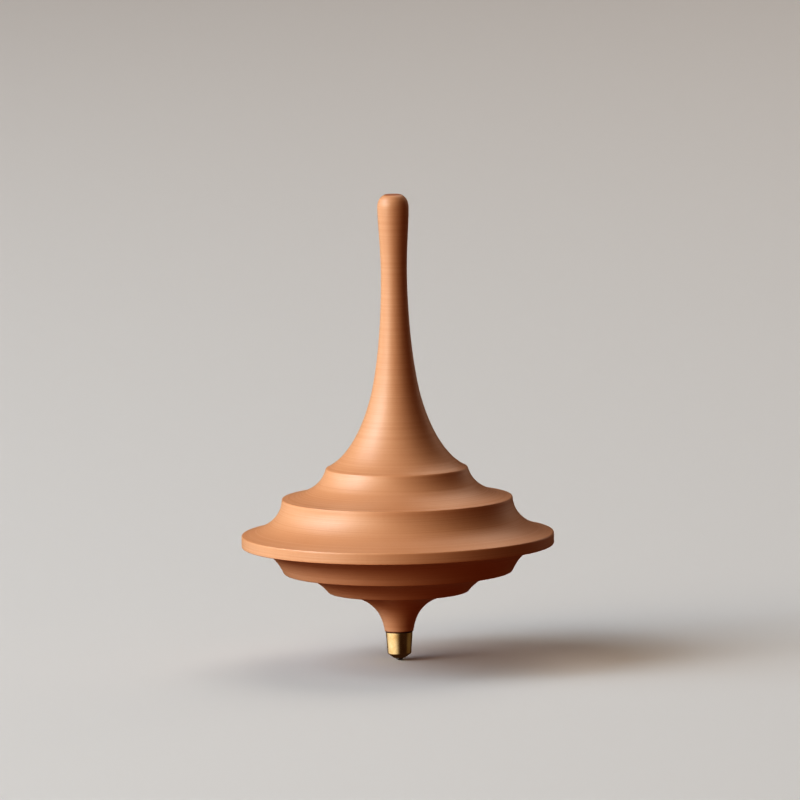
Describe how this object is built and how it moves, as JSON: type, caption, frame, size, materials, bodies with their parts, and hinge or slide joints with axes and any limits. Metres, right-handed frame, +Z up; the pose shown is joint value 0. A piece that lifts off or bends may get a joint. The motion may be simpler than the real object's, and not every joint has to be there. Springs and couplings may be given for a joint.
{
  "type": "spinning top",
  "caption": "Lathe-turned wooden finger top with a slim flared stem, a stepped disc with hollow coves, and a brass tip that carries a small ball.",
  "frame": {"origin": "the point where the tip ball touches the table", "axes": "+Z up along the spin axis, from the tip to the stem's end; the shape is round, so X and Y are free"},
  "size_m": [0.05, 0.05, 0.0749],
  "materials": {
    "waxed_fruitwood": "satin wax",
    "turned_brass": "turned and lightly polished",
    "ball_steel": "polished"
  },
  "bodies": {
    "root": {"turned_body": "waxed_fruitwood", "brass_tip": "turned_brass", "tip_ball": "ball_steel"}
  },
  "joints": []
}
